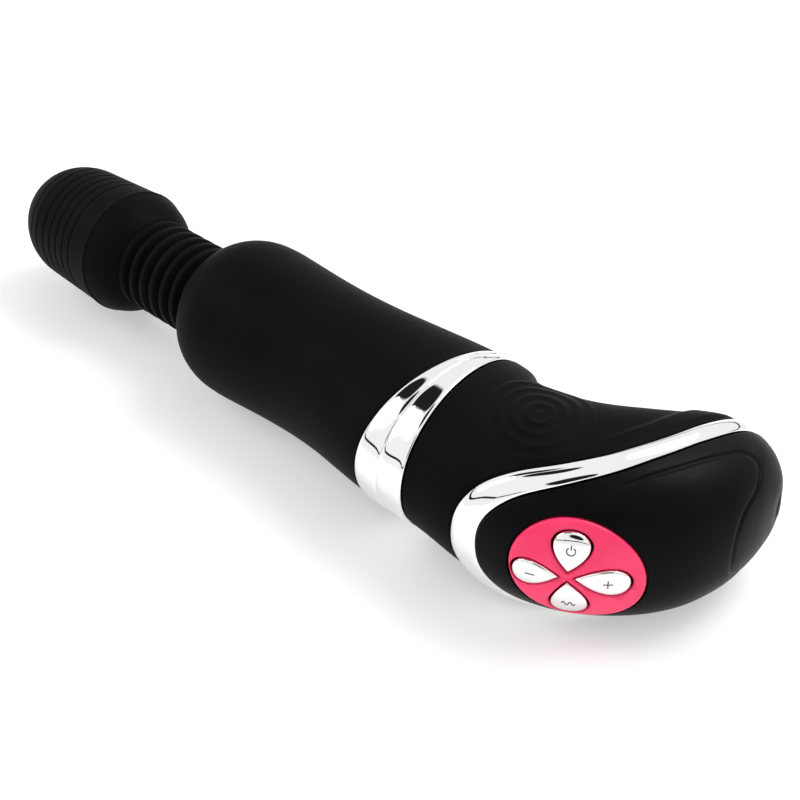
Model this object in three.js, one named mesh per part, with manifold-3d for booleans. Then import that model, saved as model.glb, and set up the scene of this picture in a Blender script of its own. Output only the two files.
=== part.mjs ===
// A handheld wand massager, lying on its flank.
//
// Millimetres. +X runs from the head to the handle, -Y is the side with the four buttons,
// +Y is the hollow of the hooked handle, and +Z is up. While the pieces are made, the wand's
// own axis is the line y = 0, z = 0, with x = 0 at the front edge of the chrome ring; the last
// lines stand the whole thing on z = 0, centred over the origin.

import * as THREE from 'three';
import { mergeVertices } from 'three/addons/utils/BufferGeometryUtils.js';
import Module from 'manifold-3d';

const wasm = await Module();
wasm.setup();

// ---- driving dimensions ---------------------------------------------------------------------

const GAP = 0.3;                 // clearance between neighbouring pieces
const AROUND = 24;               // sides of a swept skin
const ROUND = 20;                // sides of a small turned piece

const HEAD = { tip: -148.4, ridge: -110, back: -102, tipRadius: 15.3, ridgeRadius: 16.2 };
const NECK = { middle: -88.7, back: -76.5, rib: 11.7, groove: 10.0, bore: 7.4,
  pitch: 4.0, halfGroove: 1.0, tube: 7.1, hole: 2.6 };
const SPRING = { outer: 6.4, bore: 4.8 };
const LEAD = { radius: 1.6, front: -109.8, back: -67.4 };
const SKIN = 1.5;                // soft-touch skin on the body and the handle
const CORE = 1.8;                // hard plastic shell under the skin
const SEAM_X = 3.0;              // where the front body unscrews from the handle
const RING = { rear: 7.0, rearTilt: -0.13, proud: 0.4 };
const REST_Z = -18.7;            // the small flats that the wand lies on
const FACE = { x: 50.2, y: -17.3, angle: -57 * Math.PI / 180 };  // middle of the button pad
const PAD = { across: 0.8, up: -0.9, long: 13.6, short: 12.1, turn: -25, proud: 0.3, ledge: 0.4 };
const PETAL = { across: -0.8, up: -0.6, proud: 0.9, gap: 0.35, stem: 1.3, steps: 22 };
const BUTTONS = {                // turn from the across direction in degrees, point, end, half width
  power: { turn: 86, near: 1.4, far: 10.0, half: 3.6, press: 6.0 },
  plus: { turn: -5, near: 1.6, far: 12.2, half: 3.1, press: 7.2 },
  mode: { turn: 276, near: 1.4, far: 10.4, half: 3.6, press: 6.0 },
  minus: { turn: 182.5, near: 1.7, far: 10.7, half: 2.9, press: 6.6 },
};
const TRIM = { width: 4.3, proud: 0.5 };
const SWITCH = { size: 3.6, height: 2.3, top: -6.3 };
const BOARD = { radius: 10.4, back: -10.2, thickness: 1.2, screw: 6.4, hole: 1.4, shank: 1.1, head: 2.0 };
const SEAL = { radius: 12.2, thickness: 1.5 };
const CELL = { radius: 5.2, start: -62.2, end: -18.8, nub: 1.9, ring: 6.4, plate: 9.2,
  frame: 13.4, tie: 11.4 };
const POST = { radius: 2.0, start: -15.3, end: 4.6 };
const CAN = { radius: 10.6, start: -123, end: -111, hub: 1.5 };
const SHAFT = { radius: 1.1, start: -132.6, end: -120.4 };
const WEIGHT = { radius: 7.6, boss: 2.6, start: -131.4, length: 6 };

// front body: [x, half width, half height]
const BODY_STATIONS = [
  [-75.8, 12.0, 12.0], [-74.8, 13.9, 13.9], [-72.6, 16.1, 16.1], [-69.4, 18.0, 18.0],
  [-65.4, 19.2, 19.2], [-60.5, 19.5, 19.5], [-54.0, 19.2, 19.2], [-45.0, 18.7, 18.7],
  [-35.0, 18.5, 18.4], [-25.0, 19.3, 18.1], [-15.0, 21.0, 17.8], [-6.0, 22.5, 17.5],
  [0.0, 23.0, 17.4], [9.0, 23.0, 17.4],
];

// handle: the two edges of its outline seen from above, and its half height at each pair
const OUTER_EDGE = [
  [0, -23.0], [12, -23.0], [26, -23.8], [39, -22.6], [50, -17.3], [59.6, -8.8], [65.6, -0.6],
  [68.8, 8.6], [69.2, 16.4], [68.0, 22.9], [66.4, 27.2],
];
const INNER_EDGE = [
  [0, 23.0], [4.6, 22.8], [8.6, 21.4], [12.4, 18.0], [18.5, 16.8], [27, 18.6], [35, 23.4],
  [41.4, 29.4], [46.8, 35.0], [52, 37.8], [58.4, 37.0], [63.2, 33.4], [65.9, 29.0],
];
const HALF_HEIGHT = [17.4, 17.4, 17.7, 18.4, 19.0, 19.0, 17.9, 15.3, 11.6, 7.2, 2.6];
const SQUARENESS = [2.0, 2.05, 2.2, 2.4, 2.5, 2.5, 2.4, 2.3, 2.2, 2.1, 2.0];

// front edge of the chrome ring seen from above, from the button side to the hollow side
const RING_LINE = [[-11.4, -60], [-3.8, -24], [-1.5, -12], [0.3, 0], [1.3, 12], [1.7, 24], [2, 60]];

// front edge of the chrome trim seen from above
const TRIM_LINE = [
  [20.4, -40], [23.0, -29.1], [24.5, -24.2], [27.7, -20.5], [33.7, -15.9], [40.5, -9.9],
  [45.6, -2.8], [49.2, 6.3], [51.2, 16.4], [52.2, 28], [52.6, 45],
];

const COLOURS = {
  silicone: [0x151516, 0.62, 0.0], plastic: [0x202124, 0.5, 0.0], chrome: [0xd9dadd, 0.12, 1.0],
  gloss: [0x111113, 0.3, 0.0], pink: [0xff3f70, 0.4, 0.0], steel: [0xa7a9ac, 0.35, 1.0],
  board: [0x1d5a38, 0.6, 0.0], cell: [0x3a4a6a, 0.4, 0.2], brass: [0xb08d4a, 0.35, 1.0],
  wire: [0x8a1f1f, 0.6, 0.0],
};

// ---- helpers --------------------------------------------------------------------------------

const group = new THREE.Group();

function material(name) {
  const [color, roughness, metalness] = COLOURS[name];
  return new THREE.MeshStandardMaterial({ color, roughness, metalness });
}

function welded(geometry) {
  const bare = geometry.clone();
  bare.deleteAttribute('normal');
  bare.deleteAttribute('uv');
  return mergeVertices(bare, 1e-4);
}

function solid(geometry) {
  const merged = welded(geometry);
  const index = merged.index.array;
  const keep = [];
  for (let i = 0; i < index.length; i += 3) {
    const [a, b, c] = [index[i], index[i + 1], index[i + 2]];
    if (a !== b && b !== c && c !== a) keep.push(a, b, c);
  }
  return new wasm.Manifold(new wasm.Mesh({
    numProp: 3,
    vertProperties: new Float32Array(merged.attributes.position.array),
    triVerts: new Uint32Array(keep),
  }));
}

function toGeometry(manifold) {
  const mesh = manifold.getMesh();
  const geometry = new THREE.BufferGeometry();
  geometry.setAttribute('position', new THREE.BufferAttribute(new Float32Array(mesh.vertProperties), 3));
  geometry.setIndex(new THREE.BufferAttribute(new Uint32Array(mesh.triVerts), 1));
  geometry.computeVertexNormals();
  return geometry;
}

function add(name, shape, finish) {
  const geometry = shape.isBufferGeometry ? shape : toGeometry(shape);
  const mesh = new THREE.Mesh(geometry, material(finish));
  mesh.name = name;
  group.add(mesh);
  return mesh;
}

// a closed skin through rings of points; each ring has the same number of points
function loft(rings) {
  const points = [];
  const index = [];
  const n = rings[0].length;
  for (const ring of rings) for (const p of ring) points.push(...p);
  for (let r = 0; r + 1 < rings.length; r += 1) {
    for (let k = 0; k < n; k += 1) {
      const a = r * n + k;
      const b = r * n + ((k + 1) % n);
      index.push(a, a + n, b, b, a + n, b + n);
    }
  }
  for (const end of [0, rings.length - 1]) {
    const middle = [0, 1, 2].map((axis) => rings[end].reduce((sum, p) => sum + p[axis], 0) / n);
    const centre = points.length / 3;
    points.push(...middle);
    for (let k = 0; k < n; k += 1) {
      const [a, b] = [end * n + k, end * n + ((k + 1) % n)];
      if (end === 0) index.push(centre, a, b);
      else index.push(centre, b, a);
    }
  }
  const geometry = new THREE.BufferGeometry();
  geometry.setAttribute('position', new THREE.Float32BufferAttribute(points, 3));
  geometry.setIndex(index);
  const made = solid(geometry);
  return made.volume() < 0 ? solid(flip(geometry)) : made;
}

function flip(geometry) {
  const turned = geometry.clone();
  const index = turned.index.array;
  for (let i = 0; i < index.length; i += 3) [index[i], index[i + 1]] = [index[i + 1], index[i]];
  return turned;
}

function power(value, exponent) {
  return Math.sign(value) * Math.abs(value) ** exponent;
}

// an oval ring of points standing across the plan line from one edge to the other
function ovalRing(from, to, halfHeight, grow, squareness = 2) {
  const middle = new THREE.Vector2().addVectors(from, to).multiplyScalar(0.5);
  const across = new THREE.Vector2().subVectors(to, from);
  const half = across.length() / 2 + grow;
  across.normalize();
  const ring = [];
  for (let k = 0; k < AROUND; k += 1) {
    const t = (2 * Math.PI * k) / AROUND;
    const side = half * power(Math.cos(t), 2 / squareness);
    const rise = (halfHeight + grow) * power(Math.sin(t), 2 / squareness);
    ring.push([middle.x + across.x * side, middle.y + across.y * side, rise]);
  }
  return ring;
}

function bodySolid(grow, x0, x1) {
  const rings = [];
  const stations = BODY_STATIONS.filter(([x]) => x > x0 && x < x1);
  const all = [bodyAt(x0), ...stations, bodyAt(x1)];
  for (const [x, a, b] of all) {
    rings.push(ovalRing(new THREE.Vector2(x, -a), new THREE.Vector2(x, a), b, grow));
  }
  return loft(rings);
}

function bodyAt(x) {
  const next = BODY_STATIONS.findIndex(([sx]) => sx >= x);
  const [x1, a1, b1] = BODY_STATIONS[Math.max(next, 1)];
  const [x0, a0, b0] = BODY_STATIONS[Math.max(next, 1) - 1];
  const t = (x - x0) / (x1 - x0);
  return [x, a0 + t * (a1 - a0), b0 + t * (b1 - b0)];
}

function spline2(points) {
  const through = points.map(([x, y]) => new THREE.Vector3(x, y, 0));
  return new THREE.CatmullRomCurve3(through, false, 'centripetal');
}

const outerCurve = spline2(OUTER_EDGE);
const innerCurve = spline2(INNER_EDGE);
const heightCurve = spline2(HALF_HEIGHT.map((h, i) => [i, h]));
const squareCurve = spline2(SQUARENESS.map((h, i) => [i, h]));

function handleSolid(grow) {
  const steps = 13;
  const rings = [];
  for (let i = 0; i <= steps; i += 1) {
    const t = i / steps;
    const a = outerCurve.getPoint(t);
    const b = innerCurve.getPoint(t);
    const h = heightCurve.getPoint(t).y;
    if (Math.min(h, a.distanceTo(b) / 2) + grow < 0.6) break;
    const square = squareCurve.getPoint(t).y;
    rings.push(ovalRing(new THREE.Vector2(a.x, a.y), new THREE.Vector2(b.x, b.y), h, grow, square));
  }
  return loft(rings);
}

// everything on the far side of a plan line, as a tall block
function beyond(points) {
  const shape = new THREE.Shape(points.map(([x, y]) => new THREE.Vector2(x, y)));
  const block = new THREE.ExtrudeGeometry(shape, { depth: 80, bevelEnabled: false });
  block.translate(0, 0, -40);
  return solid(block);
}

function blockX(x0, x1) {
  const box = new THREE.BoxGeometry(x1 - x0, 120, 120);
  box.translate((x0 + x1) / 2, 0, 0);
  return solid(box);
}

// the half space behind the plane x = x0 + tilt * y
function behindPlane(x0, tilt) {
  return beyond([[x0 - 60 * tilt, -60], [200, -60], [200, 60], [x0 + 60 * tilt, 60]]);
}

// a piece turned about the wand's axis from a profile of [x, radius] points
function turned(profile, sides = ROUND) {
  const points = profile.map(([x, r]) => new THREE.Vector2(r, x));
  const geometry = new THREE.LatheGeometry(points, sides);
  geometry.rotateZ(-Math.PI / 2);
  geometry.rotateX(Math.PI);
  const made = solid(geometry);
  return made.volume() < 0 ? solid(flip(welded(geometry))) : made;
}

function rod(x0, x1, radius, sides = ROUND, y = 0, z = 0) {
  const geometry = new THREE.CylinderGeometry(radius, radius, x1 - x0, sides);
  geometry.rotateZ(Math.PI / 2);
  geometry.translate((x0 + x1) / 2, y, z);
  return solid(geometry);
}

function floorCut(manifold) {
  const box = new THREE.BoxGeometry(400, 200, 40);
  box.translate(0, 0, REST_Z - 20);
  return manifold.subtract(solid(box));
}

// ---- head -----------------------------------------------------------------------------------

const headOutline = (grow) => {
  const r = HEAD.tipRadius + grow;
  const start = HEAD.tip + HEAD.tipRadius;
  const points = [];
  for (let i = 0; i <= 8; i += 1) {
    const t = (Math.PI / 2) * (i / 8);
    points.push([start - r * Math.cos(t) * 0.98, r * Math.sin(t)]);
  }
  points.push([HEAD.ridge, HEAD.ridgeRadius + grow]);
  return points;
};

function makeHead() {
  const outer = [...headOutline(0), [-107, 15.8], [-104, 14.3], [HEAD.back, 12.0]];
  const inner = headOutline(-1.6).map(([x, r]) => [x, Math.max(r, 0)]);
  const skin = turned([...outer, [HEAD.back, 9.2], [-104, 9.2], [-108, 13.6], ...inner.reverse()]);
  add('head_skin', skin, 'silicone');

  const cupOuter = headOutline(-1.9).map(([x, r]) => [x, Math.max(r, 0)]);
  const cup = turned([...cupOuter.filter(([x]) => x < HEAD.ridge), [-111, 13.9], [-111, 11.0],
    [-133.5, 11.0], [-133.5, 0]]);
  add('motor_cup', cup, 'plastic');

  const cover = turned([[-110.6, 13.3], [-108.2, 12.9], [-104.6, 8.8], [-102.0, 8.8], [-102.0, 2.6],
    [-108.2, 2.6], [-110.6, 2.6], [-110.6, 13.3]]);
  add('motor_cover', cover, 'plastic');

  const pocket = CAN.start + 3;
  const can = turned([[CAN.start, CAN.hub], [CAN.start, CAN.radius], [CAN.end, CAN.radius], [CAN.end, 0],
    [pocket, 0], [pocket, CAN.hub], [CAN.start, CAN.hub]]);
  add('motor_can', can, 'steel');
  add('motor_shaft', rod(SHAFT.start, SHAFT.end, SHAFT.radius, 16), 'steel');

  const half = new THREE.Shape();
  half.absarc(0, 0, WEIGHT.radius, -Math.PI / 2, Math.PI / 2, false);
  const cut = { depth: WEIGHT.length, bevelEnabled: false, curveSegments: 10 };
  const weight = new THREE.ExtrudeGeometry(half, cut);
  weight.rotateY(Math.PI / 2);
  weight.translate(WEIGHT.start, 0, 0);
  const boss = rod(WEIGHT.start, WEIGHT.start + WEIGHT.length, WEIGHT.boss, 16);
  const bore = rod(SHAFT.start - 5, SHAFT.end, SHAFT.radius + 0.04, 16);
  add('eccentric_weight', solid(weight).add(boss).subtract(bore), 'brass');
}

// ---- neck -----------------------------------------------------------------------------------

const firstGroove = NECK.middle - 2.5 * NECK.pitch;

// one stretch of the bellows, with a square groove wherever the pitch puts one
function bellows(x0, x1) {
  const profile = [[x0, NECK.bore]];
  let x = x0;
  let r = null;
  const stepTo = (next, radius) => {
    const end = Math.min(next, x1);
    if (end <= x + 0.05) return;
    if (radius !== r) profile.push([x, radius]);
    profile.push([end, radius]);
    [x, r] = [end, radius];
  };
  for (let g = firstGroove; g < NECK.back + NECK.pitch; g += NECK.pitch) {
    stepTo(g - NECK.halfGroove, NECK.rib);
    stepTo(g + NECK.halfGroove, NECK.groove);
  }
  stepTo(x1, NECK.rib);
  profile.push([x1, NECK.bore], [x0, NECK.bore]);
  return turned(profile);
}

function tube(x0, x1, outer, bore, sides = ROUND) {
  return rod(x0, x1, outer, sides).subtract(rod(x0 - 1, x1 + 1, bore, sides));
}

const bodyFront = BODY_STATIONS[0][0];

function makeNeck() {
  const half = NECK.pitch / 2;
  const [front, back] = [NECK.middle - half, NECK.middle + half];
  add('bellows_front', bellows(HEAD.back + GAP, front - GAP / 2), 'silicone');
  add('bellows_middle', bellows(front + GAP / 2, back - GAP / 2), 'silicone');
  add('bellows_rear', bellows(back + GAP / 2, bodyFront - GAP), 'silicone');
  add('neck_spacer', tube(front + 0.5, back - 0.5, NECK.tube, NECK.hole), 'plastic');
  add('neck_spring_front', tube(HEAD.back + 0.4, front + 0.2, SPRING.outer, SPRING.bore), 'steel');
  add('neck_spring_rear', tube(back - 0.2, bodyFront - GAP / 2, SPRING.outer, SPRING.bore), 'steel');
  add('motor_lead_front', rod(LEAD.front, NECK.middle - GAP / 2, LEAD.radius, 10), 'wire');
  add('motor_lead_rear', rod(NECK.middle + GAP / 2, LEAD.back, LEAD.radius, 10), 'wire');
}

// ---- front body -----------------------------------------------------------------------------

const ringFront = (shift) => beyond([...RING_LINE.map(([x, y]) => [x + shift, y]), [200, 60], [200, -60]]);
const ringRear = (shift) => behindPlane(RING.rear + shift, RING.rearTilt);
const seamEnd = SEAM_X - GAP / 2;
const seamStart = SEAM_X + GAP / 2;

function makeFrontBody() {
  const skin = bodySolid(0, bodyFront, 8).subtract(bodySolid(-SKIN, bodyFront + 1.6, 9))
    .subtract(rod(bodyFront - 3, bodyFront + 8, NECK.tube + 1.7)).subtract(ringFront(-GAP));
  add('front_skin', floorCut(skin), 'silicone');

  const depth = SKIN + GAP;
  const core = bodySolid(-depth, bodyFront + 1.9, seamEnd)
    .subtract(bodySolid(-depth - CORE, bodyFront + 3.8, 9))
    .subtract(rod(bodyFront - 3, bodyFront + 8, NECK.tube + 0.4));
  add('front_core', core, 'plastic');

  const ring = bodySolid(RING.proud, -6, seamEnd).subtract(bodySolid(-SKIN, -8, 9)).intersect(ringFront(0));
  add('front_ring', ring, 'chrome');
  add('neck_collar', tube(bodyFront + 0.1, -67.2, NECK.tube + 0.1, NECK.hole), 'plastic');
}

function makeBattery() {
  const [front, rear] = [CELL.start - 4.2, CELL.end + 3.2];
  let carrier = rod(front, front + 2, CELL.frame).add(rod(rear - 2, rear, CELL.frame));
  for (let i = 0; i < 3; i += 1) {
    const angle = (2 * Math.PI * (i + 0.5)) / 3;
    const [y, z] = [CELL.tie * Math.cos(angle), CELL.tie * Math.sin(angle)];
    carrier = carrier.add(rod(front + 1.4, rear - 1.4, 1.6, 12, y, z));
  }
  add('battery_carrier', carrier, 'plastic');
  add('contact_plate_front', rod(front + 2.3, front + 2.9, CELL.plate), 'brass');
  add('contact_plate_rear', rod(CELL.end + GAP, CELL.end + 0.9, CELL.plate), 'brass');
  for (let i = 0; i < 3; i += 1) {
    const angle = (2 * Math.PI * i) / 3;
    const [y, z] = [CELL.ring * Math.cos(angle), CELL.ring * Math.sin(angle)];
    const body = rod(CELL.start, CELL.end, CELL.radius, 20, y, z);
    add(`cell_${i + 1}`, body.add(rod(CELL.start - 1, CELL.start + 0.2, CELL.nub, 12, y, z)), 'cell');
  }
  add('contact_post', rod(POST.start, POST.end, POST.radius, 12), 'brass');
}

// ---- handle ---------------------------------------------------------------------------------

const trimCurve = spline2(TRIM_LINE);

function trimLine(offset) {
  return trimCurve.getPoints(14).map((p, i, all) => {
    const [a, b] = [all[Math.max(i - 1, 0)], all[Math.min(i + 1, all.length - 1)]];
    const away = new THREE.Vector2(b.y - a.y, a.x - b.x).normalize().multiplyScalar(offset);
    return [p.x + away.x, p.y + away.y];
  });
}

const pastTrim = (offset) => beyond([...trimLine(offset), [140, 60], [140, -60]]);

const faceFrame = new THREE.Matrix4().makeBasis(
  new THREE.Vector3(-Math.sin(FACE.angle), Math.cos(FACE.angle), 0),
  new THREE.Vector3(0, 0, 1),
  new THREE.Vector3(Math.cos(FACE.angle), Math.sin(FACE.angle), 0),
).setPosition(FACE.x, FACE.y, 0);

// a prism on the button face: drawn across and up the face, from one depth to another
function onFace(shape, from, to, curveSegments = 12) {
  const cut = { depth: to - from, bevelEnabled: false, curveSegments };
  const geometry = new THREE.ExtrudeGeometry(shape, cut);
  geometry.translate(0, 0, from);
  geometry.applyMatrix4(faceFrame);
  return solid(geometry);
}

function padOutline(grow) {
  const shape = new THREE.Shape();
  const turn = (PAD.turn * Math.PI) / 180;
  shape.absellipse(PAD.across, PAD.up, PAD.long + grow, PAD.short + grow, 0, 2 * Math.PI, false, turn);
  return shape;
}

function disc(radius, u = 0, v = 0) {
  const shape = new THREE.Shape();
  shape.absarc(u, v, radius, 0, 2 * Math.PI, false);
  return shape;
}

// the place on the button face at a distance along a button's own direction, and beside it
function onPetal(button, along, beside = 0) {
  const turn = (button.turn * Math.PI) / 180;
  const u = PETAL.across + along * Math.cos(turn) - beside * Math.sin(turn);
  return [u, PETAL.up + along * Math.sin(turn) + beside * Math.cos(turn)];
}

// a leaf whose point is near the middle of the pad
function petal(button, grow) {
  const near = button.near - 1.4 * grow;
  const length = button.far + grow - near;
  const widest = (2 / 3) * Math.sqrt(1 / 3);
  const shape = new THREE.Shape();
  for (let i = 0; i < PETAL.steps; i += 1) {
    const sweep = (Math.PI * i) / PETAL.steps;
    const share = Math.sin(sweep);
    const half = ((button.half + grow) / widest) * share * Math.sqrt(1 - share);
    const [u, v] = onPetal(button, near + length * share, half * Math.sign(Math.cos(sweep)));
    if (i === 0) shape.moveTo(u, v);
    else shape.lineTo(u, v);
  }
  shape.closePath();
  return shape;
}

function makeHandle() {
  const whole = handleSolid(0);
  const hollow = handleSolid(-SKIN);
  const skin = whole.subtract(hollow).intersect(ringRear(GAP)).subtract(pastTrim(-GAP / 2));
  add('handle_skin', floorCut(skin), 'silicone');

  const ring = handleSolid(RING.proud).subtract(hollow)
    .intersect(blockX(seamStart, 30)).subtract(ringRear(0));
  add('rear_ring', ring, 'chrome');

  const trim = handleSolid(TRIM.proud).subtract(hollow)
    .intersect(pastTrim(GAP / 2)).subtract(pastTrim(TRIM.width - GAP / 2));
  add('trim_band', floorCut(trim), 'chrome');

  const cover = whole.subtract(hollow).intersect(pastTrim(TRIM.width + GAP / 2))
    .subtract(onFace(padOutline(GAP), -9, 9, 16));
  add('control_cover', floorCut(cover), 'gloss');

  const depth = SKIN + GAP;
  const core = handleSolid(-depth).subtract(handleSolid(-depth - CORE)).intersect(blockX(seamStart, 200))
    .subtract(onFace(padOutline(-PAD.ledge), -9, 9, 16));
  add('handle_core', core, 'plastic');
}

function makeButtons() {
  const raised = handleSolid(PETAL.proud);
  const shallow = handleSolid(-SKIN);
  let pad = handleSolid(PAD.proud).subtract(shallow).intersect(onFace(padOutline(0), -9, 9, 16));
  for (const [name, button] of Object.entries(BUTTONS)) {
    pad = pad.subtract(onFace(petal(button, PETAL.gap), -9, 9));
    const [u, v] = onPetal(button, button.press);
    const cap = raised.subtract(shallow).intersect(onFace(petal(button, 0), -9, 9));
    const stem = onFace(disc(PETAL.stem, u, v), SWITCH.top + 1.2, -1.0, 8);
    add(`${name}_button`, cap.add(stem), 'chrome');
    const body = new THREE.BoxGeometry(SWITCH.size, SWITCH.size, SWITCH.height);
    body.translate(u, v, SWITCH.top - SWITCH.height / 2);
    body.applyMatrix4(faceFrame);
    add(`${name}_switch`, solid(body), 'plastic');
  }
  add('button_pad', pad, 'pink');
}

function makeElectronics() {
  const front = BOARD.back + BOARD.thickness;
  let board = onFace(disc(BOARD.radius), BOARD.back, front, 12);
  for (const [i, side] of [-1, 1].entries()) {
    const [u, v] = [BOARD.screw * side, BOARD.screw * side];
    board = board.subtract(onFace(disc(BOARD.hole, u, v), BOARD.back - 3, front + 3, 8));
    const head = onFace(disc(BOARD.head, u, v), front + GAP, front + 1.6, 8);
    const screw = onFace(disc(BOARD.shank, u, v), BOARD.back - 1.6, front + 1.2, 8).add(head);
    add(`board_screw_${i + 1}`, screw, 'steel');
  }
  add('circuit_board', board, 'board');
  add('contact_disc', rod(POST.end + GAP, POST.end + 2.1, CELL.frame - 0.2), 'board');
  const seal = new THREE.TorusGeometry(SEAL.radius, SEAL.thickness / 2, 6, 20);
  seal.rotateY(Math.PI / 2);
  seal.translate(SEAM_X + 0.9, 0, 0);
  add('seam_seal', solid(seal), 'silicone');
}

makeHead();
makeNeck();
makeFrontBody();
makeBattery();
makeHandle();
makeButtons();
makeElectronics();

// stand the wand on z = 0 with the middle of its outline over the origin
const bounds = new THREE.Box3().setFromObject(group);
const middle = bounds.getCenter(new THREE.Vector3());
const wand = new THREE.Group();
group.position.set(-middle.x, -middle.y, -bounds.min.z);
wand.add(group);

export default wand;
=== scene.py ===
# %% [markdown]
# # A handheld wand massager, piece by piece
# The wand is a soft black handle that hooks round at its end, a front body, a bendy ribbed neck
# and a rounded head. Two chrome bands part the black pieces, and a pink pad on the flank carries
# four chrome petals, which are the buttons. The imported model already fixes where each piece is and
# how it moves. This lesson gives each visible piece its finer shape and its finish. Sizes below are
# in millimetres on the wand's own axis, and are turned to metres in one place.

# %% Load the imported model
import bpy
import math
import numpy as np
from mathutils import Matrix, Vector
from mathutils.bvhtree import BVHTree


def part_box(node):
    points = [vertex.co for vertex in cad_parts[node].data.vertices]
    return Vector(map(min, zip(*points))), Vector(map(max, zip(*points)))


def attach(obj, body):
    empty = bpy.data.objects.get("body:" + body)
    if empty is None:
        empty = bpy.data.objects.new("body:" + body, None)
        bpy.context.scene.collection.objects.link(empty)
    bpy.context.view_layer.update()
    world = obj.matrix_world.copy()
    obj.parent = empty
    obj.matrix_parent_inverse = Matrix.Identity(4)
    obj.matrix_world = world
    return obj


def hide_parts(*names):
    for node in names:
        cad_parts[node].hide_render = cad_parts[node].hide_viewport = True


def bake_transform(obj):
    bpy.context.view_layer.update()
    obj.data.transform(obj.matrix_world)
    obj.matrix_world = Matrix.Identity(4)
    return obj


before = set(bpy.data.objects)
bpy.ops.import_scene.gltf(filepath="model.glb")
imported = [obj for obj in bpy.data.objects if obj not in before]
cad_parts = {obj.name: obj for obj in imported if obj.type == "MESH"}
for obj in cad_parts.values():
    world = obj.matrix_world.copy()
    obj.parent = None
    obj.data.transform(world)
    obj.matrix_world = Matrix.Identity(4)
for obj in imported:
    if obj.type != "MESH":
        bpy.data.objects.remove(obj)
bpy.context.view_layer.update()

# %% [markdown]
# ## Where the wand's own axis lies
# The shapes are easiest to describe on the wand's own axis, with zero at the front edge of the
# chrome ring. The motor shaft runs along that axis, so its box tells where the axis is.

# %% From the wand's own axis to the shared frame
MM = 0.001
SHAFT_START = -132.6
REST_Z = -18.7
low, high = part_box("motor_shaft")
HOME = np.array([low.x - SHAFT_START * MM, (low.y + high.y) / 2, (low.z + high.z) / 2])


def placed(points):
    points = np.array(points, float)
    points[..., 2] = np.maximum(points[..., 2], REST_Z)
    return points * MM + HOME


print("own axis passes through", HOME.round(5))

# %% [markdown]
# ## The camera, the floor and the light
# A long lens looks down on the button side. The floor and the world are nearly white, as in a
# catalogue, so that the chrome has something bright to mirror. Two big soft lamps give the body its
# faint edge lights. Chrome looks like chrome only when it has dark things to mirror too, so the sky
# has a thin dark line above the table's edge and three soft dark patches, as the room behind a pair of
# white cards would be. The camera itself sees plain white.

# %% Camera
LENS = 67.5
EYE = (0.219474, -0.199662, 0.208354)
LOOK = Vector((-0.58275, 0.58052, -0.56869))
SIDEWAYS = Vector((0.70575, 0.70846, 0.0))

scene = bpy.context.scene
camera = bpy.data.objects.new("camera", bpy.data.cameras.new("camera"))
scene.collection.objects.link(camera)
camera.data.lens = LENS
camera.data.sensor_width = 36.0
camera.data.clip_start = 0.01
turn = Matrix((SIDEWAYS, SIDEWAYS.cross(LOOK), -LOOK)).transposed().to_4x4()
camera.matrix_world = Matrix.Translation(EYE) @ turn
scene.camera = camera
scene.view_settings.view_transform = "Standard"

# %% The world round the wand
world = bpy.data.worlds.new("studio")
world.use_nodes = True
world.node_tree.nodes["Background"].inputs["Color"].default_value = (1.0, 1.0, 1.0, 1.0)
scene.world = world


def world_maths(kind, *values):
    node = world.node_tree.nodes.new("ShaderNodeMath")
    node.operation = kind
    for socket, value in zip(node.inputs, values):
        if isinstance(value, (int, float)):
            socket.default_value = value
        else:
            world.node_tree.links.new(value, socket)
    return node.outputs[0]


def dark_spot(direction, cosine, edge):
    """1 inside a soft-edged round patch of the sky in that direction, 0 outside"""
    dot = world.node_tree.nodes.new("ShaderNodeVectorMath")
    dot.operation = "DOT_PRODUCT"
    world.node_tree.links.new(sky.outputs["Generated"], dot.inputs[0])
    dot.inputs[1].default_value = Vector(direction).normalized()
    spread = world_maths("DIVIDE", world_maths("SUBTRACT", dot.outputs["Value"], cosine), edge)
    return world_maths("MINIMUM", world_maths("MAXIMUM", spread, 0.0), 1.0)


SKY_LEVEL, DARKNESS = 0.95, 0.985
EDGE_HEIGHT, EDGE_HALF = 0.155, 0.026
DARK_PATCHES = [  # direction, cosine of the half angle, softness of the edge
    ((-0.61, 0.07, 0.79), 0.972, 0.010),
    ((-0.19, -0.22, 0.95), 0.962, 0.008),
    ((0.58, -0.62, 0.56), 0.955, 0.008)]
sky = world.node_tree.nodes.new("ShaderNodeTexCoord")
height = world.node_tree.nodes.new("ShaderNodeSeparateXYZ")
world.node_tree.links.new(sky.outputs["Generated"], height.inputs[0])
dark = world_maths("COMPARE", height.outputs[2], EDGE_HEIGHT, EDGE_HALF)
for patch in DARK_PATCHES:
    dark = world_maths("MAXIMUM", dark, dark_spot(*patch))
seen = world.node_tree.nodes.new("ShaderNodeLightPath")
bright = world_maths("SUBTRACT", 1.0, world_maths("MULTIPLY", dark, DARKNESS))
level = world_maths("MULTIPLY", bright, SKY_LEVEL)
lit = world_maths("MAXIMUM", level, seen.outputs["Is Camera Ray"])
world.node_tree.links.new(lit, world.node_tree.nodes["Background"].inputs["Strength"])


# %% The lamps
def lamp(name, place, power, width, height):
    data = bpy.data.lights.new(name, "AREA")
    data.shape = "RECTANGLE"
    data.size, data.size_y, data.energy = width, height, power
    item = bpy.data.objects.new(name, data)
    item.location = place
    item.rotation_euler = (Vector((0, 0, 0.02)) - Vector(place)).to_track_quat("-Z", "Y").to_euler()
    scene.collection.objects.link(item)


lamp("key_softbox", (0.25, 0.45, 0.75), 5.0, 0.5, 0.5)
lamp("side_softbox", (-0.5, -0.35, 0.5), 1.2, 0.35, 0.5)

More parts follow.
